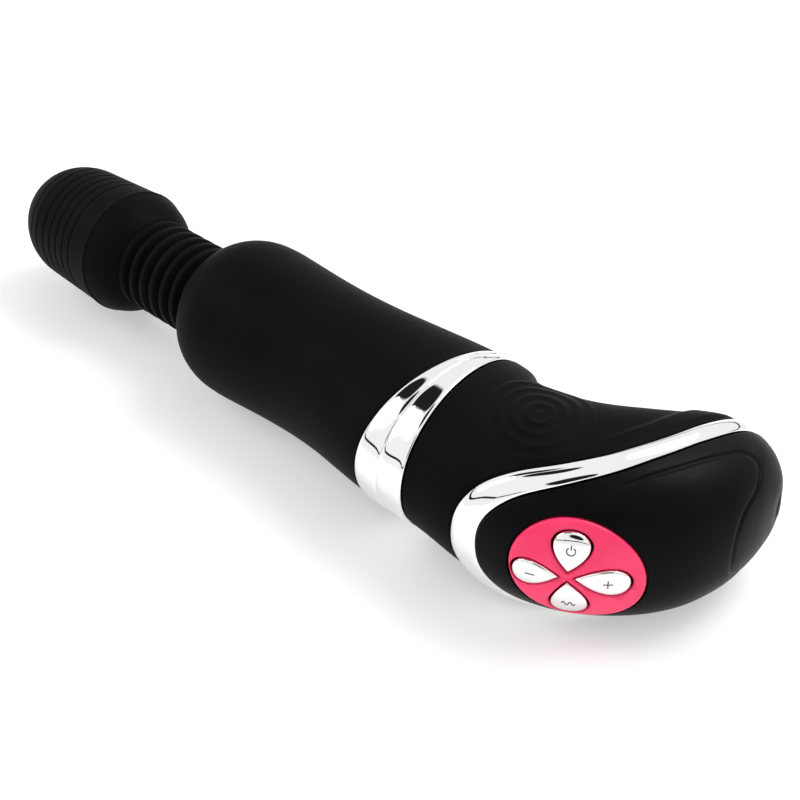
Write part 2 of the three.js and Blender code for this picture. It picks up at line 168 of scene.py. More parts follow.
# %% [markdown]
# ## Finishes
# Every finish is made of nodes on Object coordinates, in metres, so a noise scale of 1000 has
# features about a millimetre wide. A small helper makes a noise, stretches it to a range and plugs
# it in. That keeps each finish down to its own numbers: how dark, how rough, how fine the grain.

# %% Helpers for the finishes
def linear(red, green, blue):
    made = [c / 255 for c in (red, green, blue)]
    return [c / 12.92 if c <= 0.04045 else ((c + 0.055) / 1.055) ** 2.4 for c in made]


def new_finish(name):
    made = bpy.data.materials.new(name)
    made.use_nodes = True
    tree = made.node_tree
    tree.nodes.clear()
    shader = tree.nodes.new("ShaderNodeBsdfPrincipled")
    out = tree.nodes.new("ShaderNodeOutputMaterial")
    tree.links.new(shader.outputs["BSDF"], out.inputs["Surface"])
    return made, tree, shader


def noise_at(tree, scale, detail=3.0, stretch=(1, 1, 1)):
    place = tree.nodes.new("ShaderNodeTexCoord")
    mapping = tree.nodes.new("ShaderNodeMapping")
    mapping.inputs["Scale"].default_value = stretch
    noise = tree.nodes.new("ShaderNodeTexNoise")
    noise.inputs["Scale"].default_value = scale
    noise.inputs["Detail"].default_value = detail
    tree.links.new(place.outputs["Object"], mapping.inputs["Vector"])
    tree.links.new(mapping.outputs["Vector"], noise.inputs["Vector"])
    return noise.outputs["Fac"]


def stretched(tree, value, bottom, top, start=0.3, end=0.7):
    node = tree.nodes.new("ShaderNodeMapRange")
    for key, number in zip(("From Min", "From Max", "To Min", "To Max"), (start, end, bottom, top)):
        node.inputs[key].default_value = number
    tree.links.new(value, node.inputs["Value"])
    return node.outputs["Result"]


def tinted(tree, value, dark, light):
    node = tree.nodes.new("ShaderNodeMix")
    node.data_type = "RGBA"
    node.inputs[6].default_value = (*dark, 1)
    node.inputs[7].default_value = (*light, 1)
    tree.links.new(value, node.inputs[0])
    return node.outputs[2]


def bumped(tree, shader, value, depth_mm, strength=1.0):
    node = tree.nodes.new("ShaderNodeBump")
    node.inputs["Strength"].default_value = strength
    node.inputs["Distance"].default_value = depth_mm * MM
    tree.links.new(value, node.inputs["Height"])
    tree.links.new(node.outputs["Normal"], shader.inputs["Normal"])


def grained_finish(name, dark, light, rough, tone_scale, grain_scale, grain_mm, metallic=0.0, **fixed):
    """a finish whose tone and roughness drift slowly, over a fine grain"""
    made, tree, shader = new_finish(name)
    slow = noise_at(tree, tone_scale, 2.0)
    fine = noise_at(tree, grain_scale, 4.0, fixed.pop("stretch", (1, 1, 1)))
    tree.links.new(tinted(tree, stretched(tree, slow, 0, 1), dark, light), shader.inputs["Base Color"])
    tree.links.new(stretched(tree, fine, *rough), shader.inputs["Roughness"])
    bumped(tree, shader, fine, grain_mm, fixed.pop("bump", 0.4))
    shader.inputs["Metallic"].default_value = metallic
    for key, number in fixed.items():
        shader.inputs[key.replace("_", " ")].default_value = number
    return made


# %% [markdown]
# The black skin is silicone with a soft touch: nearly black, rough, and hardly mirroring anything.
# The control cover is the same black moulded smoother.
# The pad is a pink satin plastic, and both bands and the petals are polished chrome plating with
# the faintest ripple in it, because plated plastic is never as flat as a mirror.

# %% The finishes of the outside
FINISH = {
    "silicone": grained_finish(
        "soft_touch_silicone", linear(7, 7, 8), linear(11, 11, 11), (0.48, 0.62), 90, 3200, 0.03,
        Specular_IOR_Level=0.035),
    "gloss": grained_finish(
        "satin_black_cover", linear(7, 7, 8), linear(10, 10, 11), (0.34, 0.44), 70, 1800, 0.008,
        Specular_IOR_Level=0.05),
    "pink": grained_finish(
        "pink_satin_pad", linear(250, 44, 100), linear(255, 62, 112), (0.36, 0.46), 160, 2600, 0.012,
        Specular_IOR_Level=0.4),
    "chrome": grained_finish(
        "polished_chrome", (0.90, 0.90, 0.885), (0.95, 0.95, 0.935), (0.02, 0.06), 60, 420, 0.006,
        metallic=1.0, bump=0.12),
}
SIGN_FINISH = grained_finish(
    "grey_sign_paint", linear(96, 98, 100), linear(120, 122, 124), (0.45, 0.6), 300, 2400, 0.01)
print("outside finishes:", sorted(FINISH))

# %% [markdown]
# Inside the shells are moulded plastic, steel, brass, a green circuit board, wrapped cells and a
# red lead. They show only when the wand is opened, but each still gets the look of its stuff.

# %% The finishes of the inside
FINISH.update({
    "plastic": grained_finish(
        "moulded_plastic", linear(34, 35, 38), linear(46, 47, 50), (0.42, 0.58), 120, 1500, 0.03),
    "steel": grained_finish(
        "turned_steel", (0.46, 0.47, 0.48), (0.60, 0.61, 0.62), (0.24, 0.42), 200, 900, 0.01,
        metallic=1.0, stretch=(0.1, 1, 1)),
    "brass": grained_finish(
        "pressed_brass", (0.55, 0.38, 0.14), (0.70, 0.52, 0.24), (0.25, 0.45), 220, 1200, 0.01,
        metallic=1.0),
    "board": grained_finish(
        "circuit_board_green", linear(16, 70, 40), linear(30, 100, 58), (0.35, 0.55), 900, 1800, 0.02),
    "cell": grained_finish(
        "cell_wrap", linear(46, 60, 92), linear(70, 86, 120), (0.25, 0.4), 90, 700, 0.01,
        Specular_IOR_Level=0.6),
    "wire": grained_finish(
        "red_lead_rubber", linear(120, 22, 22), linear(150, 36, 34), (0.45, 0.6), 300, 2500, 0.02),
})
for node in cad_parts.values():
    kinds = [s.material.name.split(".")[0] for s in node.material_slots if s.material]
    node["kind"] = kinds[0] if kinds else "plastic"
print("finish names on the packed model:", sorted({n["kind"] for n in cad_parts.values()}))

# %% [markdown]
# ## Lines and rings
# The plan of the handle is two flowing edges, an outer and an inner one. A rounded section stands
# across each pair of points, a little squarer than an ellipse where the hand closes round it. So
# three tools are enough for every black and chrome piece: a smooth line through a few points, the
# section at any place along the handle, and a shell that joins rings of points to a closed mesh.

# %% A smooth line through points
def smooth_line(points):
    """the line's place for t from 0 to 1, passing through every point without overshoot"""
    points = np.array(points, float)
    points = np.vstack([2 * points[0] - points[1], points, 2 * points[-1] - points[-2]])

    def at(t):
        place = np.clip(np.asarray(t, float), 0, 1) * (len(points) - 3)
        i = np.minimum(place.astype(int), len(points) - 4)
        w = (place - i)[..., None]
        a, b, c, d = (points[i + k] for k in range(4))
        gap = [np.sqrt(np.linalg.norm(q - p, axis=-1, keepdims=True)) for p, q in ((a, b), (b, c), (c, d))]
        start = ((b - a) / gap[0] - (c - a) / (gap[0] + gap[1]) + (c - b) / gap[1]) * gap[1]
        finish = ((c - b) / gap[1] - (d - b) / (gap[1] + gap[2]) + (d - c) / gap[2]) * gap[1]
        return b + start * w + (3 * c - 3 * b - 2 * start - finish) * w**2 \
            + (2 * b - 2 * c + start + finish) * w**3

    return at


# %% The lines that give the wand its shape
OUTER_EDGE = [(0, -23.0), (12, -23.0), (26, -23.8), (39, -22.6), (50, -17.3), (59.4, -8.6),
              (65.2, -0.5), (68.3, 8.6), (68.7, 16.4), (67.6, 22.8), (66.2, 27.2)]
INNER_EDGE = [(0, 23.0), (4.6, 22.8), (8.6, 21.4), (12.4, 18.0), (18.5, 16.8), (27, 18.6),
              (35, 23.4), (41.4, 29.4), (46.8, 35.0), (52, 37.8), (58.4, 37.0), (63.2, 33.4),
              (65.9, 29.0)]
HALF_HEIGHT = [17.4, 17.4, 17.7, 18.4, 19.0, 19.0, 17.9, 15.3, 11.6, 7.2, 2.6]
SQUARENESS = [2.0, 2.05, 2.2, 2.4, 2.5, 2.5, 2.4, 2.3, 2.2, 2.1, 2.0]
TRIM_LINE = [(20.4, -40), (23.0, -29.1), (24.5, -24.2), (27.7, -20.5), (33.7, -15.9), (40.5, -9.9),
             (45.6, -2.8), (49.2, 6.3), (51.2, 16.4), (52.2, 28), (52.6, 45)]
RING_LINE = [(-11.4, -60), (-3.8, -24), (-1.5, -12), (0.3, 0), (1.3, 12), (1.7, 24), (2, 60)]
BODY_STATIONS = [(-75.8, 12.0, 12.0), (-74.8, 13.9, 13.9), (-72.6, 16.1, 16.1), (-69.4, 18.0, 18.0),
                 (-65.4, 19.2, 19.2), (-60.5, 19.5, 19.5), (-54, 19.2, 19.2), (-45, 18.7, 18.7),
                 (-35, 18.5, 18.4), (-25, 19.3, 18.1), (-15, 21.0, 17.8), (-6, 22.5, 17.5),
                 (0, 23.0, 17.4), (9, 23.0, 17.4)]
outer_edge, inner_edge = smooth_line(OUTER_EDGE), smooth_line(INNER_EDGE)
half_height = smooth_line([(i, h) for i, h in enumerate(HALF_HEIGHT)])
squareness = smooth_line([(i, s) for i, s in enumerate(SQUARENESS)])
ring_points = smooth_line(RING_LINE)(np.linspace(0, 1, 400))
trim_points = smooth_line(TRIM_LINE)(np.linspace(0, 1, 160))
station_points = smooth_line(BODY_STATIONS)(np.linspace(0, 1, 3000))
print("the outer edge ends at x =", round(float(outer_edge(1.0)[0]), 1), "mm")


# %% The section of the handle and of the front body
def rounded(value, power):
    return np.sign(value) * np.abs(value) ** power


def handle_surface(t, angle, grow=0.0):
    t, angle = np.broadcast_arrays(np.asarray(t, float), angle)
    start, end = outer_edge(t), inner_edge(t)
    length = np.linalg.norm(end - start, axis=-1)
    n = squareness(t)[..., 1]
    side = (length / 2 + grow) * rounded(np.cos(angle), 2 / n) / length
    rise = (half_height(t)[..., 1] + grow) * rounded(np.sin(angle), 2 / n)
    return np.concatenate([(start + end) / 2 + (end - start) * side[..., None], rise[..., None]], -1)


def body_surface(x, angle, grow=0.0):
    x, angle = np.broadcast_arrays(np.asarray(x, float), angle)
    wide = np.interp(x, station_points[:, 0], station_points[:, 1]) + grow
    tall = np.interp(x, station_points[:, 0], station_points[:, 2]) + grow
    return np.stack([x, wide * np.cos(angle), tall * np.sin(angle)], -1)


# %% Where a section line crosses an edge
RING_REAR, RING_TILT = 7.0, 0.13


def past_ring(points):
    return points[..., 0] - RING_REAR + RING_TILT * points[..., 1]


def past_trim(points):
    """how far a point lies beyond the front edge of the trim, in plan"""
    start, step = trim_points[:-1], np.diff(trim_points, axis=0)
    size = np.linalg.norm(step, axis=1)
    along = step / size[:, None]
    flat = points[..., :2].reshape(-1, 1, 2) - start
    run = np.clip((flat * along).sum(-1), 0, size)
    away = np.linalg.norm(flat - along * run[..., None], axis=-1)
    nearest = away.argmin(1)
    pick = np.arange(len(nearest))
    side = (flat[pick, nearest] * along[nearest][:, ::-1] * (1, -1)).sum(-1)
    return (np.sign(side) * away[pick, nearest]).reshape(points.shape[:-1])


def crossing(measure, level, grow, angles, start=0.0, end=1.0):
    """the t at which each section line passes the level, by a coarse look and then halving"""
    steps = np.linspace(start, end, 90)
    value = measure(handle_surface(steps[:, None], angles, grow)) - level
    first = np.argmax((value[:-1] < 0) & (value[1:] >= 0), axis=0)
    low, high = steps[first], steps[first + 1]
    for _ in range(13):
        middle = (low + high) / 2
        before = measure(handle_surface(middle, angles, grow)) < level
        low, high = np.where(before, middle, low), np.where(before, high, middle)
    return (low + high) / 2


# %% [markdown]
# ## From rings of points to a closed shell
# A moulded part has a wall, so each shell goes along the outside, round the lip, and back along the
# inside. If the last ring meets the first, the shell is a tube. If both ends close to a point, it
# is a cap. The sign of the volume tells whether the faces look outwards.

# %% Rings to a closed mesh
def mesh_from_rings(name, rings, finish, loop=True, outside=None):
    rings = np.array([np.broadcast_to(r, np.shape(rings[0])) for r in rings], float)
    count, size = rings.shape[:2]
    r = np.arange(count if loop else count - 1)[:, None]
    k = np.arange(size)[None, :]
    r2, k2 = (r + 1) % count, (k + 1) % size
    faces = np.stack([r * size + k, r * size + k2, r2 * size + k2, r2 * size + k], -1).reshape(-1, 4)
    points = placed(rings.reshape(-1, 3))
    a, b, c, d = (points[faces[:, i]] - HOME for i in range(4))
    volume = (a * np.cross(b, c)).sum() + (a * np.cross(c, d)).sum()
    faces = faces.tolist()
    if not loop:
        points = np.vstack([points, points[:size].mean(0), points[-size:].mean(0)])
        tip, last = count * size, (count - 1) * size
        faces += [[tip, (j + 1) % size, j] for j in range(size)]
        faces += [[tip + 1, last + j, last + (j + 1) % size] for j in range(size)]
    if volume < 0:
        faces = [f[::-1] for f in faces]
    mesh = bpy.data.meshes.new(name)
    mesh.from_pydata(points.tolist(), [], faces)
    mesh.polygons.foreach_set("use_smooth", [True] * len(faces))
    if outside is not None:
        mark = mesh.attributes.new("outside", "FLOAT", "POINT")
        values = np.zeros(len(points), np.float32)
        values[:count * size] = np.repeat(np.array(outside, np.float32), size)
        mark.data.foreach_set("value", values)
    mesh.materials.append(finish)
    mesh.update()
    item = bpy.data.objects.new(name, mesh)
    scene.collection.objects.link(item)
    print(f"{name}: {len(points)} points, {len(faces)} faces")
    return item


def settle(item, body, slot, *nodes):
    """the piece rides with its body and stands for the nodes, which it hides; the slot is not used"""
    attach(item, body)
    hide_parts(*nodes)


def across(first, last, count, ease=False):
    """places from first to last, without either end"""
    s = np.linspace(0, 1, count + 2)[1:-1, None]
    if ease:
        s = (1 - np.cos(np.pi * s)) / 2
    return first + (last - first) * s


def outward(rings):
    """the direction in which the surface faces at each point of a run of rings"""
    round_way = np.roll(rings, -1, axis=1) - np.roll(rings, 1, axis=1)
    along = np.gradient(rings, axis=0)
    normal = np.cross(along, round_way)
    normal /= np.maximum(np.linalg.norm(normal, axis=-1, keepdims=True), 1e-9)
    centre = rings.mean(axis=1, keepdims=True)
    return normal * np.sign((normal * (rings - centre)).sum())


# %% [markdown]
# ## The soft skin of the handle
# The skin is moulded over a hard shell from the ring to the trim. It rolls over a small radius at
# both edges, so it reads as rubber and not as paint. The hand-hold has a pattern of oval ripples
# that stand up by less than half a millimetre, and a shallow scoop beside the trim. Both are lifts
# of the surface itself: a bump in the finish would vanish in the outline.

# %% The relief on the hand-hold
AROUND = 336
angles = np.linspace(0, 2 * np.pi, AROUND, endpoint=False)
SKIN = 1.5
RIPPLE = {"x": 27.5, "y": -1.5, "long": 14.0, "wide": 10.5, "rings": 4, "height": 0.24}
SCOOP_STEP = 0.55
SCOOP = [(43.0, 33.0), (45.4, 25.5), (45.9, 17.5), (45.4, 10.7), (43.8, 4.8), (41.8, -0.4)]


def smooth_step(value, start, end):
    s = np.clip((value - start) / (end - start), 0, 1)
    return s * s * (3 - 2 * s)


def ripple_lift(points):
    dx, dy = points[..., 0] - RIPPLE["x"], points[..., 1] - RIPPLE["y"]
    far = np.hypot((dx - dy) / math.sqrt(2) / RIPPLE["long"], (dx + dy) / math.sqrt(2) / RIPPLE["wide"])
    wave = 0.5 + 0.5 * np.cos(2 * np.pi * far * RIPPLE["rings"])
    on_flank = smooth_step(np.abs(points[..., 2]), 7.0, 10.0)
    return RIPPLE["height"] * wave**1.5 * (1 - smooth_step(far, 0.98, 1.12)) * on_flank


def scoop_lift(points):
    """the strip beside the trim stands up from the scoop by one soft step"""
    line = smooth_line(SCOOP)(np.linspace(0, 1, 60))
    rel = points[..., None, :2] - line
    nearest = np.linalg.norm(rel, axis=-1).argmin(-1)
    way = np.gradient(line, axis=0)
    way /= np.linalg.norm(way, axis=1, keepdims=True)
    beside = np.take_along_axis(rel, nearest[..., None, None], axis=-2)[..., 0, :]
    right = (beside * (way[nearest][..., ::-1] * (-1, 1))).sum(-1)
    return SCOOP_STEP * smooth_step(right, -0.9, 0.9) * smooth_step(points[..., 1], -3.0, 9.0)


# %% The handle skin
GAP = 0.3
LIP = 0.45
LIP_SHARES = (0.0, 0.3, 0.6, 0.85)
FLANK = 5


def lip(share):
    """how far the surface has dropped and drawn back at one place round an edge's small radius"""
    turned = share * math.pi / 2
    return -LIP * (1 - math.sin(turned)), LIP * (1 - math.cos(turned))


first = crossing(past_ring, GAP + LIP, 0.0, angles, 0.0, 0.4)
last = crossing(past_trim, -GAP / 2 - LIP, 0.0, angles)
outside_rings = handle_surface(np.vstack([first, across(first, last, 170), last]), angles)
flanks = np.abs(outside_rings[..., 2]) > FLANK
lift = np.zeros(outside_rings.shape[:2])
lift[flanks] = ripple_lift(outside_rings[flanks]) + scoop_lift(outside_rings[flanks])
lift *= smooth_step(-past_trim(outside_rings), 0.6, 2.0)
outside_rings = outside_rings + outward(outside_rings) * lift[..., None]
lip_in, lip_out = [], []
for share in LIP_SHARES:
    drop, reach = lip(share)
    lip_in.append(handle_surface(crossing(past_ring, GAP + reach, drop, angles, 0, 0.4), angles, drop))
    lip_out.append(handle_surface(crossing(past_trim, -GAP / 2 - reach, drop, angles), angles, drop))
deep_first = crossing(past_ring, GAP, -SKIN, angles, 0, 0.4)
deep_last = crossing(past_trim, -GAP / 2, -SKIN, angles)
inside = handle_surface(np.vstack([deep_last, across(deep_last, deep_first, 14), deep_first]), angles, -SKIN)
handle_skin = mesh_from_rings(
    "handle_soft_skin", [*lip_in, *outside_rings, *lip_out[::-1], *inside], FINISH["silicone"])
settle(handle_skin, "handle", "silicone", "handle_skin")

# %% [markdown]
# ## The chrome ring
# The ring is two bands that meet at the seam where the front body turns on the handle. Each band is
# slightly crowned, so a fine crease runs round the middle, and its outer edge has a small bevel
# that catches a line of light. The front edge follows the front body's own slanting line.

# %% Both halves of the ring
ring_start = np.interp(np.cos(angles) * 23.4, ring_points[:, 1], ring_points[:, 0])
CROWN = [(0.0, 0.06), (0.10, 0.22), (0.30, 0.36), (0.75, 0.44), (1.3, 0.47)]
SEAM_X, SEAM_HALF_GAP = 3.0, 0.03
PARTING = [(0.0, 0.20), (0.05, 0.27), (0.18, 0.34), (0.55, 0.42), (1.1, 0.46)]


def band(name, from_edge, to_edge, edge_crown, other_crown, surface, thick=SKIN):
    """a crowned band between two edges; each crown is (distance from the edge, height)"""
    rings = [surface(from_edge, -thick), surface(from_edge, -0.3)]
    rings += [surface(from_edge + d, h) for d, h in edge_crown]
    inner_a, inner_b = from_edge + edge_crown[-1][0], to_edge - other_crown[-1][0]
    rings += [surface(inner_a + (inner_b - inner_a) * s, edge_crown[-1][1]) for s in (0.25, 0.5, 0.75)]
    rings += [surface(to_edge - d, h) for d, h in other_crown[::-1]]
    rings += [surface(to_edge, -0.3), surface(to_edge, -thick)]
    rings += [surface(to_edge + (from_edge - to_edge) * s, -thick) for s in (0.33, 0.66)]
    return mesh_from_rings(name, rings, FINISH["chrome"])


front_ring = band(
    "front_chrome_ring", ring_start, np.full(AROUND, SEAM_X - SEAM_HALF_GAP), CROWN, PARTING,
    lambda x, grow: body_surface(x, angles, grow))
settle(front_ring, "front_body", "chrome", "front_ring")


def rear_band_surface(x_wanted, grow):
    return handle_surface(crossing(lambda p: p[..., 0], x_wanted, grow, angles, 0.0, 0.4), angles, grow)


rear_end = RING_REAR - RING_TILT * np.cos(angles) * 23.0
rear_ring = band(
    "rear_chrome_ring", np.full(AROUND, SEAM_X + SEAM_HALF_GAP), rear_end, PARTING, CROWN,
    rear_band_surface)
settle(rear_ring, "handle", "chrome", "rear_ring")

# %% [markdown]
# ## The chrome trim
# The trim is a bright band that slants round the hook between the skin and the control cover. Its
# face is crowned and its edges are bevelled, so it mirrors the light in long parallel lines.

# %% The trim band
TRIM_WIDE = 4.3
TRIM_PROFILE = [
    (0.0, -SKIN), (0.0, -0.3), (0.0, 0.04), (0.05, 0.12), (0.40, 0.34), (0.48, 0.38), (0.8, 0.52),
    (1.2, 0.66), (1.6, 0.77), (2.0, 0.80), (2.4, 0.77), (2.8, 0.66), (3.2, 0.52), (3.52, 0.38),
    (3.60, 0.34), (3.95, 0.12), (4.0, 0.04), (4.0, -0.3), (4.0, -SKIN), (2.7, -SKIN), (1.3, -SKIN)]
trim_rings = []
for reach, grow in TRIM_PROFILE:
    t = crossing(past_trim, GAP / 2 + reach, grow, angles)
    trim_rings.append(handle_surface(t, angles, grow))
trim = mesh_from_rings("chrome_trim", trim_rings, FINISH["chrome"])
settle(trim, "handle", "chrome", "trim_band")

# %% [markdown]
# ## The control cover
# The cover closes the hook in smooth satin black. It is one shell that runs from the trim to the
# rounded end of the hook. A fine groove marks the inset panel around the buttons, and an oval
# opening is cut for the pad. The opening is a boolean, because its edge must be exact.

# %% The face that carries the buttons
FACE_AT = np.array([50.2, -17.3, 0.0])
FACE_TURN = math.radians(-57)
FACE_OUT = np.array([math.cos(FACE_TURN), math.sin(FACE_TURN), 0.0])
FACE_ACROSS = np.array([-math.sin(FACE_TURN), math.cos(FACE_TURN), 0.0])
PANEL = [(50, -10, 14.6), (53, -4, 16.5), (57, 5.7, 17.2), (59.6, 15, 16.4), (61.4, 21.6, 14.4),
         (63.6, 22.8, 12.6), (66.2, 19, 10.2), (67.8, 12.8, 7.8), (68.7, 10, 4.2), (68.9, 9.4, 0)]


PANEL_GROOVE = 0.30


def groove_depth(points):
    line = smooth_line(PANEL + [(x, y, -z) for x, y, z in PANEL[-2::-1]])(np.linspace(0, 1, 420))
    depth = np.zeros(points.shape[:-1])
    near = (points[..., 0] > 48) & (points[..., 1] > -14) & (points[..., 1] < 26)
    away = np.linalg.norm(points[near][:, None] - line, axis=-1).min(1)
    fade = smooth_step(points[near][:, 1], -9.0, -2.0)
    depth[near] = PANEL_GROOVE * (1 - smooth_step(away, 0.1, 0.85)) * fade
    return depth


# %% The cover's shell
END_PUSH, END_BULGE = 0.5, 0.12
first = crossing(past_trim, TRIM_WIDE + GAP / 2 + LIP, 0.0, angles)
end_middle = np.append((outer_edge(1.0) + inner_edge(1.0)) / 2, 0.0)
across_end = outer_edge(1.0) - inner_edge(1.0)
end_way = np.array([-across_end[1], across_end[0], 0.0]) / np.linalg.norm(across_end)
cover_t = np.vstack([first, across(first, np.full(AROUND, 0.985), 150)])
cover_rings = handle_surface(cover_t, angles)
cover_rings += END_PUSH * smooth_step(cover_t, 0.78, 0.98)[..., None] * end_way
cover_rings = cover_rings - outward(cover_rings) * groove_depth(cover_rings)[..., None]
end_ring = handle_surface(1.0, angles)
tip_rings = []
for share in (0.0, 0.25, 0.5, 0.7, 0.86, 0.96):
    scale, reach = math.cos(share * math.pi / 2), END_PUSH + END_BULGE * math.sin(share * math.pi / 2)
    tip_rings.append((end_ring - end_middle) * scale + end_middle + end_way * reach)
cover_lip = []
for share in (0.0, 0.35, 0.7):
    drop, reach = lip(share)
    t = crossing(past_trim, TRIM_WIDE + GAP / 2 + reach, drop, angles)
    cover_lip.append(handle_surface(t, angles, drop))
deep = crossing(past_trim, TRIM_WIDE + GAP / 2, -SKIN, angles)
inner_t = np.vstack([across(deep, np.full(AROUND, 0.93), 24)[::-1], deep])
inner = handle_surface(inner_t, angles, -SKIN)
inner -= 1.2 * SKIN * smooth_step(inner_t, 0.6, 0.9)[..., None] * end_way
cover = mesh_from_rings(
    "control_cover_shell", [*inner, *cover_lip, *cover_rings, *tip_rings], FINISH["gloss"], loop=False)

# %% [markdown]
# The pad and the petals lie on the cover's curved face. Rays cast onto the cover measure how the
# face bows, and a small polynomial through those measures gives one smooth surface for all of them.

# %% How the face bows
tree_of_cover = BVHTree.FromPolygons(
    [v.co for v in cover.data.vertices], [tuple(p.vertices) for p in cover.data.polygons])
BOW_SPAN = 14
samples, heights = [], []
for u in np.linspace(-14, 15.5, 25):
    for v in np.linspace(-14, 12.5, 23):
        start = (FACE_AT + FACE_ACROSS * u + [0, 0, v] + FACE_OUT * 20) * MM + HOME
        hit = tree_of_cover.ray_cast(Vector(start), Vector(-FACE_OUT))[0]
        if hit is not None:
            samples.append((u, v))
            heights.append(float((np.array(hit) - HOME) / MM @ FACE_OUT - FACE_AT @ FACE_OUT))
POWERS = [(i, j) for i in range(5) for j in range(5 - i)]
samples = np.array(samples) / BOW_SPAN
bow = np.linalg.lstsq(
    np.stack([samples[:, 0]**i * samples[:, 1]**j for i, j in POWERS], 1), np.array(heights), rcond=None)[0]


def on_face(u, v, lift=0.0):
    """a point on the bowed face, raised by lift"""
    u, v, lift = np.broadcast_arrays(np.asarray(u, float), v, lift)
    high = sum(c * (u / BOW_SPAN)**i * (v / BOW_SPAN)**j for c, (i, j) in zip(bow, POWERS)) + lift
    return FACE_AT + u[..., None] * FACE_ACROSS + v[..., None] * np.array([0, 0, 1.0]) \
        + high[..., None] * FACE_OUT


print("the face bows by", round(float(max(heights) - min(heights)), 2), "mm over the pad")


# %% Cutting with a prism
def prism(name, u, v, low_end, high_end):
    """a straight cutter with the outline u, v through the face"""
    flat = FACE_AT + u[:, None] * FACE_ACROSS + v[:, None] * np.array([0, 0, 1.0])
    return mesh_from_rings(name, [flat + FACE_OUT * low_end, flat + FACE_OUT * high_end],
                           FINISH["plastic"], loop=False)


def keep_result(item, modifier):
    """swaps the piece's mesh for what the modifier makes of it"""
    made = bpy.data.meshes.new_from_object(item.evaluated_get(bpy.context.evaluated_depsgraph_get()))
    item.modifiers.remove(modifier)
    made.name = item.name
    item.data = made
    return made


def cut_away(item, cutter):
    modifier = item.modifiers.new("cut", "BOOLEAN")
    modifier.object, modifier.operation, modifier.solver = cutter, "DIFFERENCE", "EXACT"
    made = keep_result(item, modifier)
    bpy.data.objects.remove(cutter)
    print(f"{item.name}: cut, {len(made.polygons)} faces")


PAD = {"u": 0.95, "v": -0.7, "half_long": 13.5, "half_short": 11.85, "turn": math.radians(-25)}
turns = np.linspace(0, 2 * np.pi, 144, endpoint=False)


def pad_oval(scale=1.0, grow=0.0):
    """the pad's leaning oval, across and up the face"""
    long = (PAD["half_long"] * scale + grow) * np.cos(turns)
    short = (PAD["half_short"] * scale + grow) * np.sin(turns)
    cos, sin = math.cos(PAD["turn"]), math.sin(PAD["turn"])
    return PAD["u"] + long * cos - short * sin, PAD["v"] + long * sin + short * cos


THROUGH = 9
PAD_GAP = 0.45
cut_away(cover, prism("cutter", *pad_oval(grow=PAD_GAP), -THROUGH, THROUGH))
settle(cover, "handle", "gloss", "control_cover")

# %% [markdown]
# ## The pink pad
# The pad is an oval plate with a rounded edge that stands a little proud of the cover. Four
# teardrop openings let the petals through. Their points meet near the middle of the pad.

# %% The outline of a petal
CROSS = (-0.8, -0.6)
PETALS = {
    "power_button": {"turn": 86, "near": 1.4, "far": 10.0, "half": 3.6},
    "plus_button": {"turn": -5, "near": 1.6, "far": 12.2, "half": 3.1},
    "mode_button": {"turn": 276, "near": 1.4, "far": 10.4, "half": 3.6},
    "minus_button": {"turn": 182.5, "near": 1.7, "far": 10.7, "half": 2.9},
}
PETAL_GAP = 0.5
POINT_STRETCH = 1.4
LEAF_PEAK = 2 / 3 * math.sqrt(1 / 3)


def petal_outline(name, grow=0.0, count=96):
    """a leaf with its point near the middle of the pad: the outline and its inner middle"""
    petal = PETALS[name]
    near, far = petal["near"] - POINT_STRETCH * grow, petal["far"] + grow
    sweep = np.linspace(0, math.pi, count, endpoint=False)
    share = np.sin(sweep)
    x = near + (far - near) * share
    y = (petal["half"] + grow) / LEAF_PEAK * share * np.sqrt(1 - share) * np.sign(np.cos(sweep))
    middle = near + (far - near) * 0.6
    cos, sin = math.cos(math.radians(petal["turn"])), math.sin(math.radians(petal["turn"]))
    return (CROSS[0] + x * cos - y * sin, CROSS[1] + x * sin + y * cos,
            CROSS[0] + middle * cos, CROSS[1] + middle * sin)


# %% The pad
PAD_EDGE = [(0.15, 0.34), (0.4, 0.34), (0.6, 0.34), (0.8, 0.34), (0.92, 0.34), (0.955, 0.33),
            (0.975, 0.29), (0.988, 0.22), (0.997, 0.10), (1.0, -0.05), (1.0, -SKIN), (0.7, -SKIN),
            (0.3, -SKIN)]
pad_rings = [on_face(*pad_oval(s), h) for s, h in PAD_EDGE]
pad = mesh_from_rings("pink_button_pad", pad_rings, FINISH["pink"], loop=False)
for name in PETALS:
    u, v, _, _ = petal_outline(name, PETAL_GAP)
    cut_away(pad, prism("cutter", u, v, -THROUGH, THROUGH))
settle(pad, "handle", "pink", "button_pad")

# %% [markdown]
# ## The petals
# Each petal is a plump chrome teardrop on a short stem, and the stem presses a switch on the board.
# Its rings are the outline shrunk towards the middle of the round end, raised like a pillow.
# Each carries a small generic sign: a power mark, a plus, a minus and a wave for the pulse mode.

# %% The petals and their signs
PETAL_RISE = [(1.0, -SKIN), (1.0, 0.1), (0.99, 0.28), (0.96, 0.42), (0.91, 0.54), (0.83, 0.64),
              (0.7, 0.73), (0.52, 0.80), (0.32, 0.84), (0.12, 0.86)]


SIGN_WIDE, SIGN_FOOT, SIGN_TOP = 0.3, 0.5, 0.89
STEM_RADIUS, STEM_END = 1.3, -4.0


def strip(u, v):
    """a thin closed strip along a line on top of a petal"""
    line = np.stack([u, v], -1)
    way = np.gradient(line, axis=0)
    way /= np.linalg.norm(way, axis=1, keepdims=True)
    side = way[:, ::-1] * (-1, 1) * SIGN_WIDE / 2
    rows = []
    for (u1, v1), (du, dv) in zip(line, side):
        us = np.array([u1 - du, u1 + du, u1 + du, u1 - du])
        vs = np.array([v1 - dv, v1 + dv, v1 + dv, v1 - dv])
        rows.append(on_face(us, vs, np.array([SIGN_FOOT, SIGN_FOOT, SIGN_TOP, SIGN_TOP])))
    return rows


